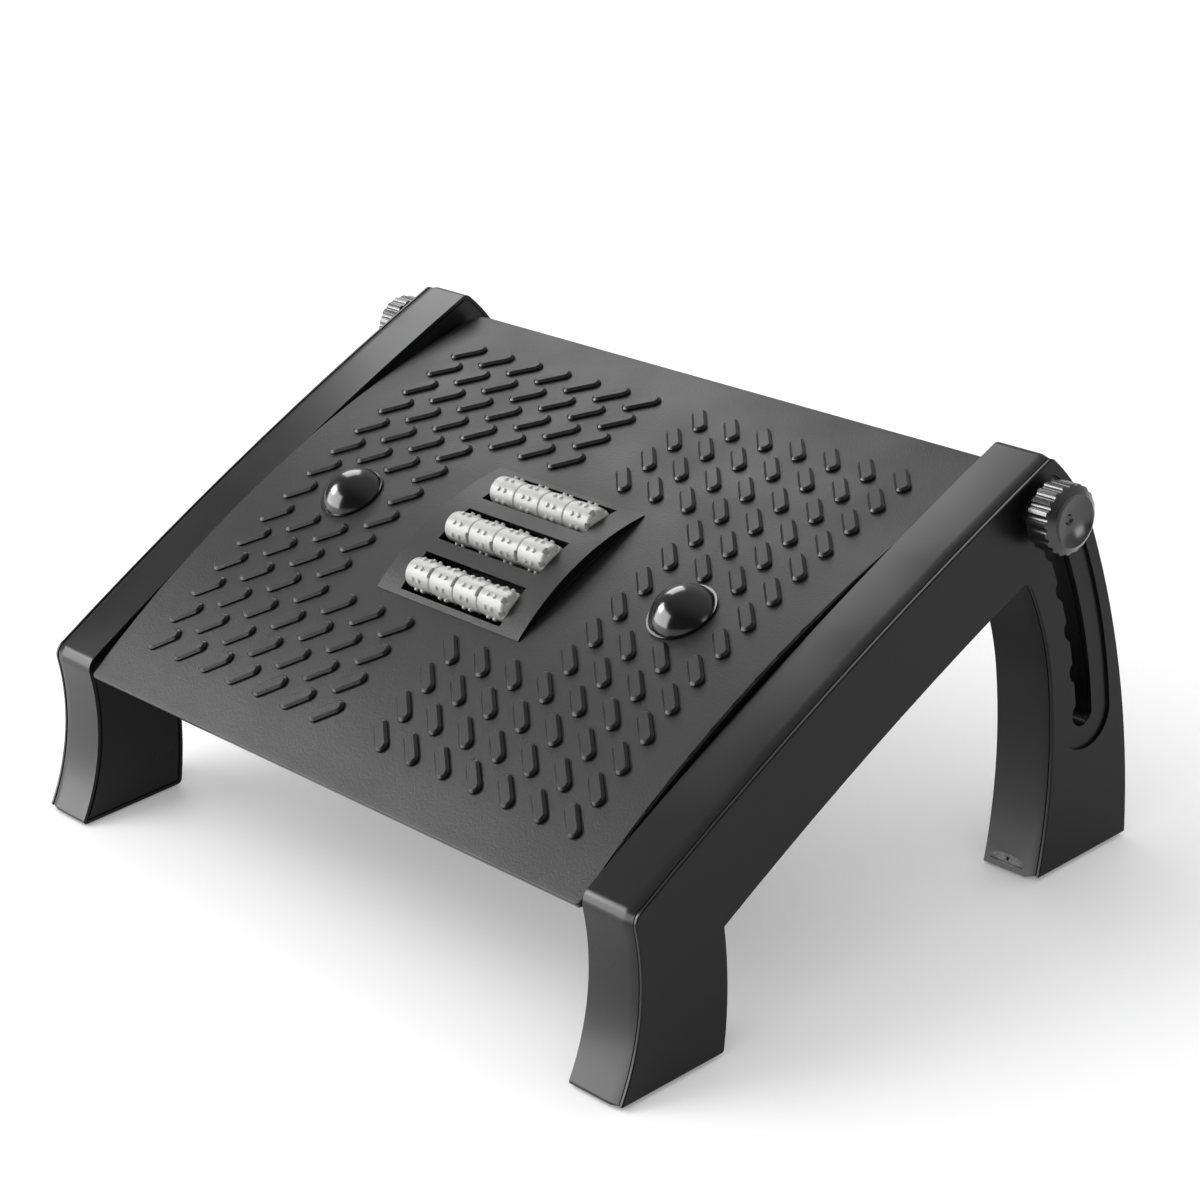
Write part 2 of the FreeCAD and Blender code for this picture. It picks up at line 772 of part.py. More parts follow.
def lens_face(inset):
    # The arched panel seen from the side, down to the tread, moved inwards by inset.
    half_run = insert_half_run - inset * insert_half_run / insert_rise
    run = hump_radius * asin(half_run / hump_radius)
    low = tread_radius * asin(half_run / tread_radius)
    lift = seat_gap + inset
    edges = [
        Part.Arc(hump_point(-run, -inset), hump_point(0, -inset), hump_point(run, -inset)).toShape(),
        Part.LineSegment(hump_point(run, -inset), tread_point(low, lift)).toShape(),
        Part.Arc(tread_point(low, lift), tread_point(0, lift), tread_point(-low, lift)).toShape(),
        Part.LineSegment(tread_point(-low, lift), hump_point(-run, -inset)).toShape(),
    ]
    return Part.Face(Part.Wire(Part.__sortEdges__(edges)))


def under_hump_face(run_half, lift):
    # The side view of the space under the panel, down to the sleeve's end.
    angle = asin(run_half / (hump_radius + lift))
    run = angle * hump_radius
    low_left = tread_middle - tread_along * run_half - tread_normal * sleeve_depth
    low_right = tread_middle + tread_along * run_half - tread_normal * sleeve_depth
    edges = [
        Part.Arc(hump_point(-run, lift), hump_point(0, lift), hump_point(run, lift)).toShape(),
        Part.LineSegment(hump_point(run, lift), low_right).toShape(),
        Part.LineSegment(low_right, low_left).toShape(),
        Part.LineSegment(low_left, hump_point(-run, lift)).toShape(),
    ]
    return Part.Face(Part.Wire(Part.__sortEdges__(edges)))


roller_names = ("front", "middle", "rear")
roller_runs = (-window_pitch, 0, window_pitch)


def roller_centre(run):
    return hump_point(run, -axle_depth)


def roller_insert():
    panel = slab(lens_face(0), -insert_width / 2, insert_width / 2)
    for side in sides.values():
        span = sorted((side * (insert_width / 2 - insert_side_recess), side * (insert_width / 2 + overrun)))
        panel = panel.cut(slab(lens_face(insert_rim), *span))
    sleeve = slab(under_hump_face(sleeve_length / 2, -insert_panel / 2), -sleeve_width / 2, sleeve_width / 2)
    body = panel.fuse(sleeve)
    inner_half = sleeve_width / 2 - sleeve_wall
    inner_run = sleeve_length / 2 - sleeve_end_wall
    cavity = slab(under_hump_face(inner_run, -insert_panel), -inner_half, inner_half)
    clearing = local_box(-inner_half, inner_half, inner_run, -sleeve_depth - overrun, -sleeve_depth + overrun)
    body = body.cut(cavity.fuse(clearing))
    additions = [body]
    rib_from = window_width / 2 + axle_rib_gap
    for side in sides.values():
        span = sorted((side * rib_from, side * (rib_from + axle_rib)))
        additions.append(slab(under_hump_face(inner_run + seat_gap, -insert_panel / 2), *span))
    for x_place, run in insert_boss_places():
        boss = local_rod(insert_boss_radius, x_place, run, -sleeve_depth, insert_rise)
        additions.append(boss.common(sleeve))
    body = fuse_all(additions)
    cutters = []
    for run in roller_runs:
        cutters.append(window_cutter(run))
        centre = roller_centre(run)
        end = axle_half_length + overrun
        cutters.append(rod(axle_radius + axle_seat_gap, -end, end, centre.y, centre.z))
    for x_place, run in insert_boss_places():
        cutters.append(local_rod(insert_screw_radius, x_place, run,
                                 -sleeve_depth - overrun, -sleeve_depth + insert_screw_bite))
    return body.cut(Part.makeCompound(cutters))


def window_cutter(run):
    half = window_length / 2
    deep = -insert_panel - overrun
    points = [hump_point(run - half, overrun), hump_point(run + half, overrun),
              hump_point(run + half, deep), hump_point(run - half, deep)]
    wire = Part.makePolygon(points + [points[0]])
    return slab(Part.Face(wire), -window_width / 2, window_width / 2)


def insert_screws():
    # Four screws that pull the insert down onto the platform's ledges.
    screws = []
    seat = -skirt_depth - seat_gap
    for x_place, run in insert_boss_places():
        head = local_rod(insert_screw_head_radius, x_place, run, seat - insert_screw_head, seat)
        tip = -sleeve_depth + insert_screw_bite - seat_gap
        shank = local_rod(insert_screw_radius, x_place, run, seat, tip)
        screws.append(head.fuse(shank).removeSplitter())
    return Part.makeCompound(screws)


bead_length = (window_width - 2 * roller_end_gap) / bead_count - bead_gap


def roller_bead(slit_count, slit_deg):
    # One barrel bead along X from zero, with slits in its right end and pairs of nubs round it.
    length = bead_length
    bore = axle_radius + running_gap
    shoulder = bead_end_radius - bead_end_round
    left = Vector(bead_end_round, 0, bead_end_radius)
    right = Vector(length - bead_end_round, 0, bead_end_radius)
    chain = [right, Vector(length, 0, shoulder), Vector(length, 0, bore), Vector(0, 0, bore),
             Vector(0, 0, shoulder), left]
    edges = [Part.Arc(left, Vector(length / 2, 0, bead_radius), right).toShape()]
    for start, end in zip(chain[:-1], chain[1:]):
        edges.append(Part.LineSegment(start, end).toShape())
    bead = Part.Face(Part.Wire(edges)).revolve(Vector(0, 0, 0), Vector(1, 0, 0), 360)
    nubs = []
    for row in range(nub_rows):
        for offset in (-nub_spacing / 2, nub_spacing / 2):
            angle = 360.0 * row / nub_rows
            base = Vector(length / 2 + offset, 0, bead_radius - nub_sunk)
            nub = Part.makeCone(nub_radius, nub_tip_radius, nub_sunk + nub_proud, base, Vector(0, 0, 1))
            nub.rotate(Vector(0, 0, 0), Vector(1, 0, 0), angle)
            nubs.append(nub)
    bead = fuse_all([bead] + nubs)
    slits = []
    for index in range(slit_count):
        outer = Part.makeCylinder(bead_radius + overrun, bead_slit_width + overrun,
                                  Vector(length - bead_slit_width, 0, 0), Vector(1, 0, 0), slit_deg)
        inner = Part.makeCylinder(bead_end_radius - bead_slit_depth, length,
                                  Vector(length - bead_slit_width - overrun, 0, 0), Vector(1, 0, 0))
        slit = outer.cut(inner)
        slit.rotate(Vector(0, 0, 0), Vector(1, 0, 0), 360.0 * (index + 0.5) / slit_count - slit_deg / 2)
        slits.append(slit)
    return bead.cut(Part.makeCompound(slits))


def roller_beads(run):
    centre = roller_centre(run)
    start = -window_width / 2 + roller_end_gap + bead_gap / 2
    turn = row_turn_deg * run / window_pitch
    beads = []
    for index in range(bead_count):
        last = index == bead_count - 1
        bead = roller_bead(end_bead_slits, end_bead_slit_deg) if last else roller_bead(bead_slits, bead_slit_deg)
        bead.rotate(Vector(0, 0, 0), Vector(1, 0, 0), turn)
        bead.translate(Vector(start + index * (bead_length + bead_gap), centre.y, centre.z))
        beads.append(bead)
    return beads


def roller_axle(run):
    centre = roller_centre(run)
    return rod(axle_radius, -axle_half_length, axle_half_length, centre.y, centre.z)


def massage_dome(side):
    # A glossy cap with a thin rim, and a stem that a spring clip holds under the plate.
    cap_height = dome_height - dome_rim
    sphere_radius = (dome_radius ** 2 + cap_height ** 2) / (2 * cap_height)
    crown = Vector(0, 0, dome_height)
    side_point = Vector(dome_radius, 0, dome_rim)
    middle_angle = asin(dome_radius / sphere_radius) / 2
    middle = Vector(sphere_radius * sin(middle_angle), 0,
                    dome_height - sphere_radius + sphere_radius * cos(middle_angle))
    stem_end = -platform_plate - dome_clip - dome_stem_end
    edges = [Part.Arc(crown, middle, side_point).toShape()]
    chain = [side_point, Vector(dome_rim_radius, 0, dome_rim), Vector(dome_rim_radius, 0, seat_gap),
             Vector(dome_stem_radius, 0, seat_gap), Vector(dome_stem_radius, 0, stem_end),
             Vector(0, 0, stem_end), crown]
    for start, end in zip(chain[:-1], chain[1:]):
        edges.append(Part.LineSegment(start, end).toShape())
    dome = Part.Face(Part.Wire(edges)).revolve(Vector(0, 0, 0), Vector(0, 0, 1), 360)
    dome = dome.cut(tread_in_local())
    return on_tread(dome, side * dome_across)


def tread_in_local():
    # The plate's bent top seen from a dome's own axes, so that the rim follows it.
    reach = dome_rim_radius + dome_rim_radius
    cylinder = Part.makeCylinder(tread_radius + seat_gap, reach + reach,
                                 Vector(-reach, 0, -tread_radius), Vector(1, 0, 0))
    core = Part.makeCylinder(dome_stem_radius + dome_stem_gap, reach + reach,
                             Vector(0, 0, -reach), Vector(0, 0, 1))
    return cylinder.cut(core)


def on_tread(shape, across):
    # Stand a shape made at the origin on the tread's middle line.
    placed = shape.copy()
    placed.rotate(Vector(0, 0, 0), Vector(1, 0, 0), degrees(tread_slope))
    placed.translate(tread_middle + Vector(across, 0, 0))
    return placed


def dome_clip_ring(side):
    low = -platform_plate - seat_gap - dome_clip
    ring = Part.makeCylinder(dome_clip_radius, dome_clip, Vector(0, 0, low), Vector(0, 0, 1))
    ring = ring.cut(Part.makeCylinder(dome_stem_radius, dome_height, Vector(0, 0, low - overrun),
                                      Vector(0, 0, 1)))
    return on_tread(ring, side * dome_across)


def pivot_bush():
    # A flanged bush in the inner wall, its flange inside the frame.
    outer = pivot_pin_radius + running_gap + pivot_bush_wall
    inside = frame_inner + inner_wall
    sleeve = rod(outer, frame_inner, inside + pivot_bush_flange, pivot_reach, pivot_height)
    flange_end = inside + pivot_bush_flange
    flange = rod(pivot_bush_flange_radius, inside + seat_gap, flange_end, pivot_reach, pivot_height)
    bore = rod(pivot_pin_radius + running_gap, frame_inner - overrun, flange_end + overrun,
               pivot_reach, pivot_height)
    return sleeve.fuse(flange).cut(bore)


def pivot_screw():
    # A shoulder screw put in from inside the frame before the cover goes on.
    head_from = frame_inner + inner_wall + pivot_bush_flange + moving_gap
    head = rod(pivot_head_radius, head_from, head_from + pivot_head, pivot_reach, pivot_height)
    tip = boss_face - pivot_insert_length + overrun
    shank = rod(pivot_pin_radius, tip, head_from, pivot_reach, pivot_height)
    screw = head.fuse(shank).removeSplitter()
    return screw.cut(hex_socket(head_from + pivot_head - pivot_socket_depth, pivot_socket_depth + overrun))


def hex_socket(x_from, depth):
    # A six-sided driver recess round the pivot's axis.
    points = []
    for corner in range(hexagon_sides):
        angle = 2 * pi * corner / hexagon_sides
        points.append(Vector(x_from, pivot_reach + pivot_socket_radius * cos(angle),
                             pivot_height + pivot_socket_radius * sin(angle)))
    wire = Part.makePolygon(points + [points[0]])
    return Part.Face(wire).extrude(Vector(depth, 0, 0))


def threaded_insert(place, outer, bore, length):
    body = rod(outer, boss_face - length, boss_face, place.y, place.z)
    return body.cut(rod(bore + running_gap, boss_face - length - overrun, boss_face + overrun,
                        place.y, place.z))


recess_floor = half_width - slot_recess_depth
washer_from = recess_floor + moving_gap
knob_from = washer_from + clamp_washer + moving_gap


def clamp_washer_ring():
    ring = rod(clamp_washer_radius, washer_from, washer_from + clamp_washer, clamp_place.y, clamp_place.z)
    return ring.cut(rod(clamp_bolt_radius + running_gap, washer_from - overrun,
                        washer_from + clamp_washer + overrun, clamp_place.y, clamp_place.z))


def clamp_bolt():
    # The bolt runs from the knob through both slots into the platform's boss.
    tip = boss_face - clamp_bolt_engagement
    head_from = knob_from + knob_back
    shank = rod(clamp_bolt_radius, tip, head_from, clamp_place.y, clamp_place.z)
    head = rod(clamp_head_radius, head_from, head_from + clamp_head, clamp_place.y, clamp_place.z)
    return shank.fuse(head).removeSplitter()


def height_knob():
    # A fluted grip with a bevelled, dished face, turned about X.
    x0 = knob_from
    x1 = x0 + knob_back
    x2 = x1 + knob_grip
    x3 = x2 + knob_bevel
    face_radius = knob_radius - knob_bevel_width
    rim = [(x0, 0), (x0, knob_hub_radius), (x1, knob_hub_radius), (x1, knob_radius), (x2, knob_radius),
           (x3, face_radius)]
    edges = []
    points = [Vector(x, 0, r) for x, r in rim]
    for start, end in zip(points[:-1], points[1:]):
        edges.append(Part.LineSegment(start, end).toShape())
    dish_end = Vector(x3 - knob_dish_depth, 0, knob_dimple_radius)
    dish_middle = Vector(x3 - knob_dish_depth * dish_middle_share, 0, (face_radius + knob_dimple_radius) / 2)
    edges.append(Part.Arc(points[-1], dish_middle, dish_end).toShape())
    floor_edge = Vector(x3 - knob_dish_depth - knob_dimple_depth, 0, knob_dimple_radius * dimple_floor_share)
    floor_middle = Vector(x3 - knob_dish_depth - knob_dimple_depth, 0, 0)
    edges.append(Part.LineSegment(dish_end, floor_edge).toShape())
    edges.append(Part.LineSegment(floor_edge, floor_middle).toShape())
    edges.append(Part.LineSegment(floor_middle, points[0]).toShape())
    knob = Part.Face(Part.Wire(edges)).revolve(Vector(0, 0, 0), Vector(1, 0, 0), 360)
    flutes = []
    for index in range(knob_flutes):
        flute = Part.makeCylinder(knob_flute_radius, knob_grip + knob_bevel + knob_back,
                                  Vector(x1 - overrun, 0, knob_radius + knob_flute_radius - knob_flute_depth),
                                  Vector(1, 0, 0))
        flute.rotate(Vector(0, 0, 0), Vector(1, 0, 0), 360.0 * index / knob_flutes)
        flutes.append(flute)
    knob = knob.cut(Part.makeCompound(flutes))
    knob = knob.cut(Part.makeCylinder(clamp_bolt_radius + running_gap, knob_back + overrun,
                                      Vector(x0 - overrun, 0, 0), Vector(1, 0, 0)))
    knob = knob.cut(Part.makeCylinder(clamp_head_radius + running_gap, clamp_head + moving_gap,
                                      Vector(x1 - seat_gap, 0, 0), Vector(1, 0, 0)))
    knob.translate(Vector(0, clamp_place.y, clamp_place.z))
    return knob


def mirrored(shape):
    return shape.mirror(Vector(0, 0, 0), Vector(1, 0, 0))


def build():
    parts = {}
    paired = {
        "side_frame": side_frame(),
        "side_cover": side_cover(),
        "cover_screws": cover_screws(),
        "pivot_bush": pivot_bush(),
        "pivot_screw": pivot_screw(),
        "pivot_insert": threaded_insert(pivot_place, pivot_insert_radius, pivot_pin_radius,
                                        pivot_insert_length),
        "clamp_insert": threaded_insert(clamp_place, clamp_insert_radius, clamp_bolt_radius,
                                        clamp_insert_length),
        "clamp_bolt": clamp_bolt(),
        "clamp_washer": clamp_washer_ring(),
        "height_knob": height_knob(),
    }
    front_pad, rear_pad = pad_blocks(0, 0)
    paired["front_pad"] = front_pad
    paired["rear_pad"] = rear_pad
    for name, shape in paired.items():
        parts["right_" + name] = shape
        parts["left_" + name] = mirrored(shape)
    parts["foot_platform"] = foot_platform()
    parts["roller_insert"] = roller_insert()
    parts["insert_screws"] = insert_screws()
    for name, side in sides.items():
        parts[name + "_dome"] = massage_dome(side)
        parts[name + "_dome_clip"] = dome_clip_ring(side)
    for name, run in zip(roller_names, roller_runs):
        parts[name + "_axle"] = roller_axle(run)
        for index, bead in enumerate(roller_beads(run)):
            parts["%s_bead_%d" % (name, index + 1)] = bead
    box = side_outline(0).BoundBox
    shift = Vector(0, -(box.YMin + box.YMax) / 2, pad_proud)
    os.makedirs("parts", exist_ok=True)
    for name in sorted(parts):
        shape = parts[name]
        shape.translate(shift)
        if not shape.isValid():
            print("not valid:", name)
        print(name, len(shape.Solids), "solids", round(shape.Volume / 1000, 2), "cm3")
        shape.exportStep("parts/%s.step" % name)
    return parts


build()
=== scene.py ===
from math import asin, cos, radians, sin

import bpy
from mathutils import Matrix, Vector


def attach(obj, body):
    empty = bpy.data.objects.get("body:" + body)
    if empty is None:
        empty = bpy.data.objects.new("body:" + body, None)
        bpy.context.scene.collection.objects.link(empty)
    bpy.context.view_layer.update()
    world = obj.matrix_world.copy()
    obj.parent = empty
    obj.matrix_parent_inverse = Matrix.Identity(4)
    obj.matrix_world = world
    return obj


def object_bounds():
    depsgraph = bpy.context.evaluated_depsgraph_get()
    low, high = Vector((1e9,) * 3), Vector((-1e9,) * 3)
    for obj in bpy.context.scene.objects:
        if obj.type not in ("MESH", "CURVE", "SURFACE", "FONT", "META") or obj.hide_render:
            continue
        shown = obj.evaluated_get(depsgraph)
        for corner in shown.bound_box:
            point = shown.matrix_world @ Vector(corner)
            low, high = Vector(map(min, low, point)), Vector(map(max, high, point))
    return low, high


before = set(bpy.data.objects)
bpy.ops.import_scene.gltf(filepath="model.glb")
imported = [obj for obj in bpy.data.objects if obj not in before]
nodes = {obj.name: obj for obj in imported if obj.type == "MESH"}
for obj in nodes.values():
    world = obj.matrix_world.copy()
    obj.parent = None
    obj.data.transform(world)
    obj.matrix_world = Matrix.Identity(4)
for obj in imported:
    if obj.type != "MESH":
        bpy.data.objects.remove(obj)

# Under-desk footrest: black moulded side frames and platform, pale rollers.
mm = 0.001
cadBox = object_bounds()
treadAxisMm = (235.139, -449.64)  # y and z of the line that the tread is curved round
noiseBand = (0.3, 0.7)  # nearly all of a noise texture's values lie between these
print("frame loaded:", len(nodes), "nodes")


def hexColour(text):
    # sRGB hex to linear
    parts = [int(text[i:i + 2], 16) / 255 for i in (1, 3, 5)]
    linear = [c / 12.92 if c <= 0.04045 else ((c + 0.055) / 1.055) ** 2.4 for c in parts]
    return (*linear, 1.0)


def addNode(tree, kind, settings=None, links=None, **values):
    # settings are the node's own options, values its sockets, links the outputs that feed it
    node = tree.nodes.new(kind)
    for name, value in (settings or {}).items():
        setattr(node, name, value)
    for name, value in values.items():
        node.inputs[name.replace("_", " ")].default_value = value
    for name, source in (links or {}).items():
        tree.links.new(source, node.inputs[name])
    return node


def newMaterial(name):
    material = bpy.data.materials.new(name)
    material.use_nodes = True
    tree = material.node_tree
    tree.nodes.clear()
    return material, tree


def scale01(tree, value, low, high, lowResult=0.0, highResult=1.0):
    # turns a value between two limits into a value between two results
    return addNode(tree, "ShaderNodeMapRange", {}, {"Value": value}, From_Min=low, From_Max=high,
                   To_Min=lowResult, To_Max=highResult).outputs["Result"]


def flankMask(tree, coords, flanks):
    # 0 on the curved tread and the bars' tops, 1 on their steep sides and ends
    centre = addNode(tree, "ShaderNodeVectorMath", {"operation": "SUBTRACT"},
                     {0: coords.outputs["Object"]})
    centre.inputs[1].default_value = (0, *(value * mm for value in treadAxisMm))
    flat = addNode(tree, "ShaderNodeVectorMath", {"operation": "MULTIPLY"}, {0: centre.outputs[0]})
    flat.inputs[1].default_value = (0, 1, 1)
    outward = addNode(tree, "ShaderNodeVectorMath", {"operation": "NORMALIZE"}, {0: flat.outputs[0]})
    facing = addNode(tree, "ShaderNodeVectorMath", {"operation": "DOT_PRODUCT"},
                     {0: coords.outputs["Normal"], 1: outward.outputs[0]})
    steep, level = (cos(radians(angle)) for angle in flanks["slopes"])
    return scale01(tree, facing.outputs["Value"], level, steep)


def heelPatchMask(tree, place, heelPatch):
    # 1 in a small patch at each heel, broken up by noise
    both = addNode(tree, "ShaderNodeVectorMath", {"operation": "ABSOLUTE"}, {0: place})
    across = addNode(tree, "ShaderNodeVectorMath", {"operation": "SUBTRACT"}, {0: both.outputs[0]})
    across.inputs[1].default_value = [value * mm for value in heelPatch["placeMm"]]
    shape = addNode(tree, "ShaderNodeVectorMath", {"operation": "DIVIDE"}, {0: across.outputs[0]})
    shape.inputs[1].default_value = [value * mm for value in heelPatch["halfMm"]]
    reach = addNode(tree, "ShaderNodeVectorMath", {"operation": "LENGTH"}, {0: shape.outputs[0]})
    patch = scale01(tree, reach.outputs["Value"], *heelPatch["fade"])
    specks = addNode(tree, "ShaderNodeTexNoise", {}, {"Vector": place},
                     Scale=1 / (heelPatch["speckMm"] * mm))
    broken = scale01(tree, specks.outputs["Fac"], *heelPatch["speckBand"], heelPatch["faintest"], 1.0)
    return addNode(tree, "ShaderNodeMath", {"operation": "MULTIPLY"},
                   {0: patch, 1: broken}).outputs[0]


def mouldedPlastic(name, look):
    # injection moulded plastic: spark-eroded grain and uneven gloss
    material, tree = newMaterial(name)
    coords = addNode(tree, "ShaderNodeTexCoord")
    place = coords.outputs["Object"]
    grain = addNode(tree, "ShaderNodeTexNoise", {}, {"Vector": place},
                    Scale=1 / (look["grainMm"] * mm), Detail=2.0, Roughness=0.6)
    flow = addNode(tree, "ShaderNodeTexNoise", {}, {"Vector": place},
                   Scale=1 / (look["patchMm"] * mm), Detail=3.0, Roughness=0.55)
    tone = addNode(tree, "ShaderNodeMix", {"data_type": "RGBA"}, {0: flow.outputs["Fac"]})
    tone.inputs[6].default_value = hexColour(look["dark"])
    tone.inputs[7].default_value = hexColour(look["light"])
    colour = tone.outputs[2]
    gloss = scale01(tree, flow.outputs["Fac"], *noiseBand,
                    look["roughness"] - look["unevenGloss"], look["roughness"] + look["unevenGloss"])
    if look.get("flanks"):
        polish = addNode(tree, "ShaderNodeMix", {},
                         {0: flankMask(tree, coords, look["flanks"]), 2: gloss})
        polish.inputs[3].default_value = look["flanks"]["roughness"]
        gloss = polish.outputs[0]
    # mixes a paler grey into the colour in a small patch at each heel, broken up by specks
    if look.get("heelPatch"):
        heelTint = addNode(tree, "ShaderNodeMix", {"data_type": "RGBA"},
                      {0: heelPatchMask(tree, place, look["heelPatch"]), 6: colour})
        heelTint.inputs[7].default_value = hexColour(look["heelPatch"]["colour"])
        colour = heelTint.outputs[2]
    bump = addNode(tree, "ShaderNodeBump", {}, {"Height": grain.outputs["Fac"]},
                   Strength=look["grainStrength"], Distance=look["grainDepthMm"] * mm)
    shader = addNode(tree, "ShaderNodeBsdfPrincipled", {},
                     {"Base Color": colour, "Roughness": gloss, "Normal": bump.outputs["Normal"]},
                     IOR=look["ior"])
    shader.inputs["Specular IOR Level"].default_value = look["specular"]
    if look.get("subsurface"):
        shader.inputs["Subsurface Weight"].default_value = look["subsurface"]
        shader.inputs["Subsurface Scale"].default_value = look["subsurfaceMm"] * mm
        shader.inputs["Subsurface Radius"].default_value = (1, 1, 1)
    addNode(tree, "ShaderNodeOutputMaterial", {}, {"Surface": shader.outputs["BSDF"]})
    return material


def workedMetal(name, look):
    # turned or plated metal: turning lines, drawn coarse so that they show, vary the gloss
    material, tree = newMaterial(name)
    place = addNode(tree, "ShaderNodeTexCoord").outputs["Object"]
    lines = addNode(tree, "ShaderNodeTexNoise", {}, {"Vector": place},
                    Scale=1 / (look["lineMm"] * mm), Detail=2.0, Roughness=0.5)
    gloss = scale01(tree, lines.outputs["Fac"], 0.0, 1.0,
                    look["roughness"] - look["unevenGloss"], look["roughness"] + look["unevenGloss"])
    shader = addNode(tree, "ShaderNodeBsdfPrincipled", {}, {"Roughness": gloss}, Metallic=1.0)
    shader.inputs["Base Color"].default_value = hexColour(look["colour"])
    addNode(tree, "ShaderNodeOutputMaterial", {}, {"Surface": shader.outputs["BSDF"]})
    return material


# each grain is coarser than the real one, so that it shows
frameLook = {  # polypropylene moulded in a lightly grained tool: satin black with soft broad highlights
    "dark": "#09090a", "light": "#0e0e0f", "roughness": 0.3, "unevenGloss": 0.03, "ior": 1.49,
    "specular": 0.26, "grainMm": 0.7, "grainDepthMm": 0.02, "grainStrength": 0.35, "patchMm": 60.0,
    "heelPatch": {  # the paler grey patch at each heel
        "placeMm": (205.25, 94.6, 5.6), "halfMm": (9.5, 4, 2.4), "fade": (1.1, 0.8),
        "speckMm": 1.6, "speckBand": (0.35, 0.6), "faintest": 0.35, "colour": "#666665"}}
treadLook = {  # the same plastic from a coarser spark-eroded tool: matt, grain drawn at 1.1 mm to show
    "dark": "#0d0d0e", "light": "#141415", "roughness": 0.5, "unevenGloss": 0.04, "ior": 1.49,
    "specular": 0.27, "grainMm": 1.1, "grainDepthMm": 0.12, "grainStrength": 1.0, "patchMm": 45.0,
    "flanks": {"slopes": (50, 25), "roughness": 0.16}}  # the bars' sides, shinier from 25 to 50 degrees
knobLook = {  # nylon moulded in a polished tool: crisp highlights on the flutes
    "dark": "#161617", "light": "#1d1d1e", "roughness": 0.25, "unevenGloss": 0.03, "ior": 1.53,
    "specular": 0.72, "grainMm": 0.6, "grainDepthMm": 0.015, "grainStrength": 0.3, "patchMm": 20.0}
domeLook = {  # ABS from a mirror-polished tool: sharp round highlights
    "dark": "#070708", "light": "#0a0a0b", "roughness": 0.17, "unevenGloss": 0.02, "ior": 1.53,
    "specular": 0.5, "grainMm": 2.5, "grainDepthMm": 0.01, "grainStrength": 0.15, "patchMm": 18.0}
beadLook = {  # off-white polypropylene, slightly translucent
    "dark": "#a8a8a6", "light": "#b5b5b3", "roughness": 0.42, "unevenGloss": 0.04, "ior": 1.49,
    "specular": 0.42, "grainMm": 0.5, "grainDepthMm": 0.02, "grainStrength": 0.3, "patchMm": 9.0,
    "subsurface": 0.25, "subsurfaceMm": 1.2}
bushLook = {  # natural acetal, moulded: waxy cream
    "dark": "#cbc7b8", "light": "#d8d4c6", "roughness": 0.38, "unevenGloss": 0.03, "ior": 1.48,
    "specular": 0.5, "grainMm": 0.5, "grainDepthMm": 0.01, "grainStrength": 0.2, "patchMm": 5.0}
padLook = {  # moulded rubber, dull and slightly dusty
    "dark": "#101010", "light": "#1b1b1a", "roughness": 0.78, "unevenGloss": 0.06, "ior": 1.52,
    "specular": 0.3, "grainMm": 0.8, "grainDepthMm": 0.08, "grainStrength": 0.5, "patchMm": 14.0}
zincLook = {  # bright zinc plate: pale and softly shining
    "colour": "#b9babb", "roughness": 0.32, "lineMm": 0.4, "unevenGloss": 0.06}
darkSteelLook = {  # phosphated spring steel: dark grey, hardly shining
    "colour": "#4a4b4e", "roughness": 0.4, "lineMm": 0.4, "unevenGloss": 0.06}
brassLook = {  # turned brass: warm yellow with fine lathe lines
    "colour": "#c9a45c", "roughness": 0.3, "lineMm": 0.3, "unevenGloss": 0.06}

framePlastic = mouldedPlastic("satin black polypropylene, fine grain", frameLook)
treadPlastic = mouldedPlastic("black polypropylene, spark-eroded grain", treadLook)
knobPlastic = mouldedPlastic("satin black nylon", knobLook)
domePlastic = mouldedPlastic("polished black ABS", domeLook)
beadPlastic = mouldedPlastic("off-white polypropylene", beadLook)
bushPlastic = mouldedPlastic("natural acetal", bushLook)
padRubber = mouldedPlastic("black moulded rubber", padLook)
zincSteel = workedMetal("zinc-plated steel", zincLook)
darkSteel = workedMetal("phosphated spring steel", darkSteelLook)
turnedBrass = workedMetal("turned brass", brassLook)
print("materials made:", len(bpy.data.materials))


edges = {  # angles in degrees: edges sharper than these are rounded or shaded sharp
    "weldMm": 0.002, "roundAbove": 35, "roundSteps": 2, "creaseAbove": 32}


def creaseTree(limitDegrees):
    # smooth shading that breaks at edges sharper than the limit
    tree = bpy.data.node_groups.new("creases", "GeometryNodeTree")
    tree.interface.new_socket("Geometry", in_out="INPUT", socket_type="NodeSocketGeometry")
    tree.interface.new_socket("Geometry", in_out="OUTPUT", socket_type="NodeSocketGeometry")
    shape = addNode(tree, "NodeGroupInput").outputs[0]
    soft = addNode(tree, "GeometryNodeSetShadeSmooth", {"domain": "FACE"}, {"Geometry": shape})
    angle = addNode(tree, "GeometryNodeInputMeshEdgeAngle")
    sharp = addNode(tree, "FunctionNodeCompare", {"operation": "GREATER_THAN"},
                    {0: angle.outputs[0]})
    sharp.inputs[1].default_value = radians(limitDegrees)
    creased = addNode(tree, "GeometryNodeSetShadeSmooth", {"domain": "EDGE"},
                      {"Geometry": soft.outputs[0], "Selection": sharp.outputs[0]})
    creased.inputs["Shade Smooth"].default_value = False
    addNode(tree, "NodeGroupOutput", {}, {0: creased.outputs[0]})
    return tree


creases = creaseTree(edges["creaseAbove"])


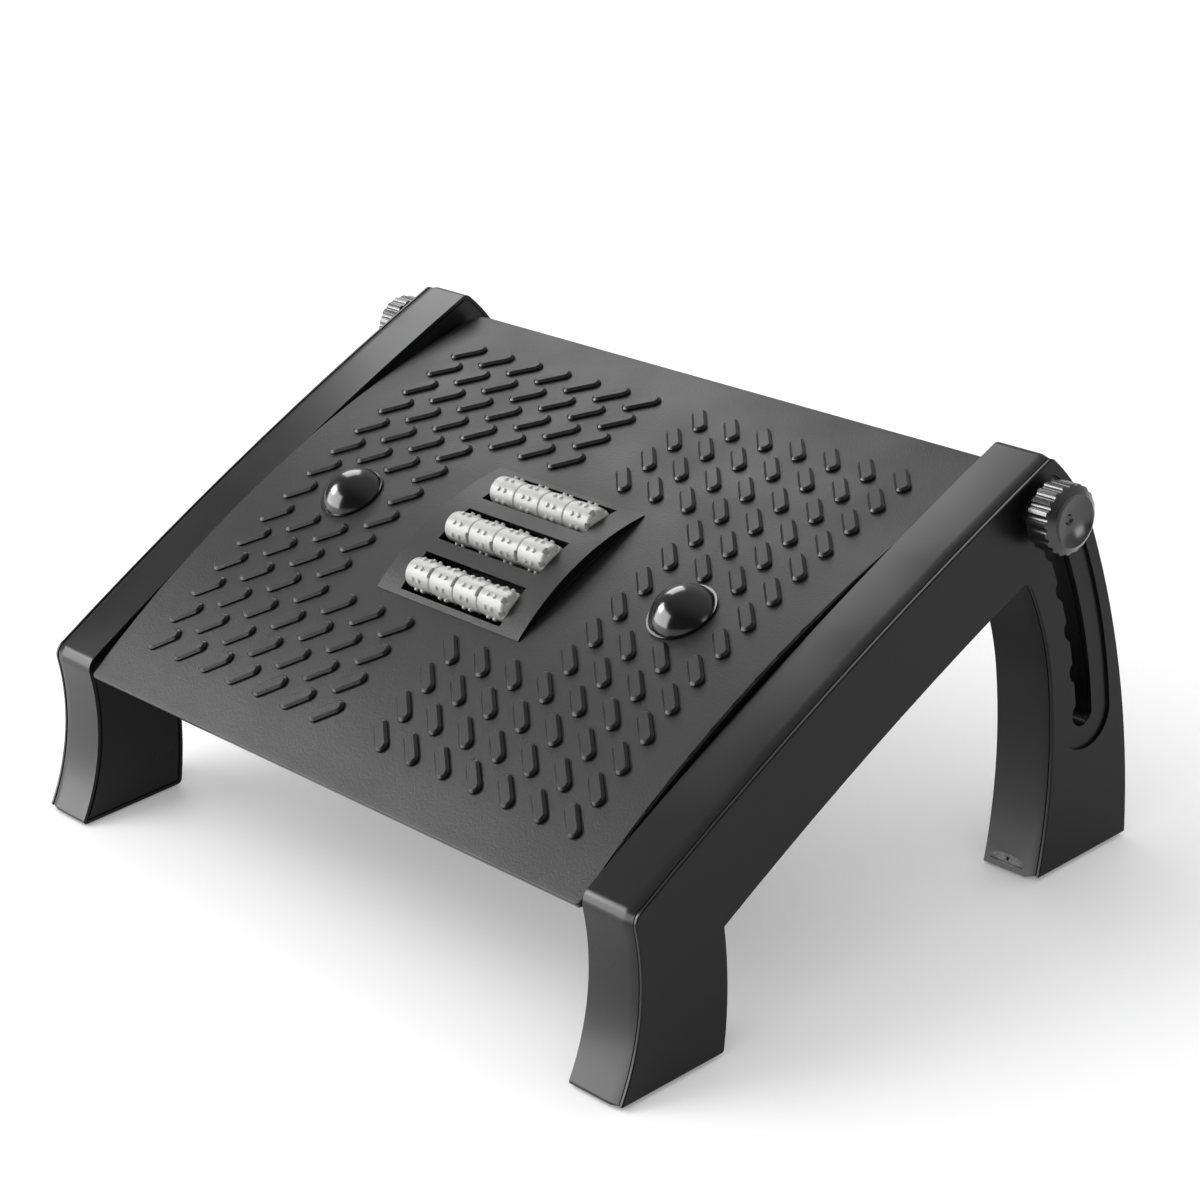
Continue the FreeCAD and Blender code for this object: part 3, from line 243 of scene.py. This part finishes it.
def dress(name, material, edgeMm):
    # gives a node its material and softens its moulded edges
    piece = nodes[name]
    piece.data.materials.clear()
    piece.data.materials.append(material)
    weld = piece.modifiers.new("weld", "WELD")
    weld.merge_threshold = edges["weldMm"] * mm
    if edgeMm:
        bevel = piece.modifiers.new("edge", "BEVEL")
        bevel.width = edgeMm * mm
        bevel.segments = edges["roundSteps"]
        bevel.limit_method = "ANGLE"
        bevel.angle_limit = radians(edges["roundAbove"])
    crease = piece.modifiers.new("creases", "NODES")
    crease.node_group = creases
    shade = piece.modifiers.new("shade", "WEIGHTED_NORMAL")
    shade.keep_sharp = True


finishes = {  # word in the node's name, the longest one counts: material, edge rounding in mm
    "side_frame": (framePlastic, 0.5), "side_cover": (framePlastic, 0.25),
    "height_knob": (knobPlastic, 0.3), "foot_platform": (treadPlastic, 0.35),
    "roller_insert": (treadPlastic, 0.3), "dome": (domePlastic, 0), "bead": (beadPlastic, 0.15),
    "bush": (bushPlastic, 0), "pad": (padRubber, 0.3), "screw": (zincSteel, 0),
    "washer": (zincSteel, 0), "bolt": (zincSteel, 0), "axle": (zincSteel, 0), "clip": (darkSteel, 0),
    "pivot_insert": (turnedBrass, 0), "clamp_insert": (turnedBrass, 0)}
for name in sorted(nodes):
    word = max((word for word in finishes if word in name), key=len)
    dress(name, *finishes[word])
print("nodes dressed")

rollerTray = {  # black floor under the beads, a shallow channel that follows the tread's curve
    "radiusMm": 636.2, "wallMm": 1.2, "lipMm": 2.4, "frontMm": -54.0, "rearMm": 28.0,
    "halfMm": 42.0, "steps": 24}


def addRollerTray(look):
    axisY, axisZ = treadAxisMm
    half, wall, lip, base = (look[key] for key in ("halfMm", "wallMm", "lipMm", "radiusMm"))
    section = [(-half, lip), (-half, 0), (half, 0), (half, lip),
               (half - wall, lip), (half - wall, wall), (wall - half, wall), (wall - half, lip)]
    points = []
    for step in range(look["steps"] + 1):
        y = look["frontMm"] + (look["rearMm"] - look["frontMm"]) * step / look["steps"]
        lean = asin((axisY - y) / base)
        for x, rise in section:
            reach = base + rise
            points.append((x * mm, (axisY - reach * sin(lean)) * mm,
                           (axisZ + reach * cos(lean)) * mm))
    count = len(section)
    faces = [tuple(range(count)), tuple(reversed(range(len(points) - count, len(points))))]
    for step in range(look["steps"]):
        for corner in range(count):
            a, b = step * count + corner, step * count + (corner + 1) % count
            faces.append((b, a, a + count, b + count))
    mesh = bpy.data.meshes.new("roller_tray")
    mesh.from_pydata(points, [], faces)
    mesh.materials.append(framePlastic)
    tray = bpy.data.objects.new("roller_tray", mesh)
    bpy.context.scene.collection.objects.link(tray)
    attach(tray, "platform")


addRollerTray(rollerTray)
print("roller tray made")

cameraView = {  # found by matching the frames, the grip bars and the knob with the photograph
    "azimuth": 52.5, "elevation": 23.1, "roll": -6.97, "lensMm": 100.93, "sensorMm": 36,
    "placeMm": (1181.5, -869.5, 738.6), "nearM": 0.05, "farM": 50}


def addCamera(look):
    azimuth, elevation, roll = (radians(look[key]) for key in ("azimuth", "elevation", "roll"))
    right = Vector((cos(azimuth), sin(azimuth), 0))
    back = Vector((sin(azimuth) * cos(elevation), -cos(azimuth) * cos(elevation), sin(elevation)))
    up = back.cross(right)
    turnedRight = right * cos(roll) + up * sin(roll)
    turnedUp = up * cos(roll) - right * sin(roll)
    data = bpy.data.cameras.new("camera")
    data.lens = look["lensMm"]
    data.sensor_width = look["sensorMm"]
    data.clip_start = look["nearM"]
    data.clip_end = look["farM"]
    camera = bpy.data.objects.new("camera", data)
    bpy.context.scene.collection.objects.link(camera)
    spin = Matrix((turnedRight, turnedUp, back)).transposed().to_4x4()
    camera.matrix_world = Matrix.Translation(Vector(look["placeMm"]) * mm) @ spin
    bpy.context.scene.camera = camera


addCamera(cameraView)

studio = {  # places and sizes in m, power in W; the key lights colours, the others only gloss
    "boxes": {
        "key": {
            "place": (-1.6, -1.3, 2.1), "size": (2.2, 2.2), "power": 40, "lights": "colour"},
        "front left": {
            "place": (-1.4, -1.86, 0.88), "size": (2.6, 1.75), "power": 120, "lights": "gloss"},
        "front high": {
            "place": (-1.0, -0.66, 0.82), "size": (0.5, 0.4), "power": 11, "lights": "gloss"},
        "rear left": {
            "place": (-0.78, 0.4, 0.88), "size": (0.55, 0.6), "power": 6.5, "lights": "gloss"},
        "right": {
            "place": (2.3, 0.8, 0.45), "size": (0.9, 0.7), "power": 9, "lights": "gloss"}},
    "aim": (0, 0, 0.1),
    # the room's level in gloss rises from low to high towards roomBright; fill lights colours
    "roomBright": (-0.1, 0.7, 0.7), "roomFrom": -0.2, "roomLow": 0.12, "roomHigh": 0.62,
    "roomFill": 0.82, "roomShown": 1.0,
    "floor": "#f2f2f2", "floorRoughness": 0.6, "floorLift": 0.18, "floorSize": 30.0,
    "floorGapMm": 0.05}


def addSoftBox(name, box, aim):
    data = bpy.data.lights.new(name, "AREA")
    data.shape = "RECTANGLE"
    data.size, data.size_y = box["size"]
    data.energy = box["power"]
    lamp = bpy.data.objects.new(name, data)
    bpy.context.scene.collection.objects.link(lamp)
    lamp.visible_diffuse = box["lights"] == "colour"
    lamp.visible_glossy = box["lights"] == "gloss"
    lamp.location = box["place"]
    way = Vector(aim) - Vector(box["place"])
    lamp.rotation_mode = "QUATERNION"
    lamp.rotation_quaternion = way.to_track_quat("-Z", "Y")


def addFloor(look):
    # pale sheet under the footrest, white to the camera beyond its shadow
    half = look["floorSize"] / 2
    corners = [(-half, -half, 0), (half, -half, 0), (half, half, 0), (-half, half, 0)]
    mesh = bpy.data.meshes.new("studioFloor")
    mesh.from_pydata(corners, [], [(0, 1, 2, 3)])
    floor = bpy.data.objects.new("studioFloor", mesh)
    bpy.context.scene.collection.objects.link(floor)
    floor.location.z = cadBox[0].z - look["floorGapMm"] * mm
    material, tree = newMaterial("pale studio paper")
    path = addNode(tree, "ShaderNodeLightPath")
    seen = addNode(tree, "ShaderNodeMath", {"operation": "MAXIMUM"},
                   {0: path.outputs["Is Camera Ray"], 1: path.outputs["Is Glossy Ray"]})
    through = addNode(tree, "ShaderNodeMath", {"operation": "MAXIMUM"},
                      {0: seen.outputs[0], 1: path.outputs["Is Transmission Ray"]})
    lift = addNode(tree, "ShaderNodeMath", {"operation": "MULTIPLY"}, {0: through.outputs[0]})
    lift.inputs[1].default_value = look["floorLift"]
    shader = addNode(tree, "ShaderNodeBsdfPrincipled", {}, {"Emission Strength": lift.outputs[0]},
                     Roughness=look["floorRoughness"])
    shader.inputs["Base Color"].default_value = hexColour(look["floor"])
    shader.inputs["Emission Color"].default_value = (1, 1, 1, 1)
    addNode(tree, "ShaderNodeOutputMaterial", {}, {"Surface": shader.outputs["BSDF"]})
    mesh.materials.append(material)


def addWorld(look):
    world = bpy.data.worlds.new("studio")
    bpy.context.scene.world = world
    world.use_nodes = True
    tree = world.node_tree
    tree.nodes.clear()
    # the room grows softly brighter towards one side, and shows white behind the footrest
    path = addNode(tree, "ShaderNodeLightPath")
    way = addNode(tree, "ShaderNodeTexCoord").outputs["Generated"]
    side = addNode(tree, "ShaderNodeVectorMath", {"operation": "DOT_PRODUCT"}, {0: way})
    side.inputs[1].default_value = look["roomBright"]
    room = addNode(tree, "ShaderNodeMapRange", {"interpolation_type": "SMOOTHSTEP"},
                   {"Value": side.outputs["Value"]}, From_Min=look["roomFrom"], From_Max=1.0,
                   To_Min=look["roomLow"], To_Max=look["roomHigh"])
    felt = addNode(tree, "ShaderNodeMapRange", {},
                   {"Value": path.outputs["Is Glossy Ray"], "To Max": room.outputs["Result"]},
                   To_Min=look["roomFill"])
    level = addNode(tree, "ShaderNodeMapRange", {},
                    {"Value": path.outputs["Is Camera Ray"], "To Min": felt.outputs["Result"]},
                    To_Max=look["roomShown"])
    shade = addNode(tree, "ShaderNodeBackground", {}, {"Strength": level.outputs["Result"]})
    shade.inputs["Color"].default_value = (1, 1, 1, 1)
    addNode(tree, "ShaderNodeOutputWorld", {}, {"Surface": shade.outputs["Background"]})


for name, box in studio["boxes"].items():
    addSoftBox(name, box, studio["aim"])
addFloor(studio)
addWorld(studio)
bpy.context.scene.view_settings.view_transform = "Standard"
print("studio set")
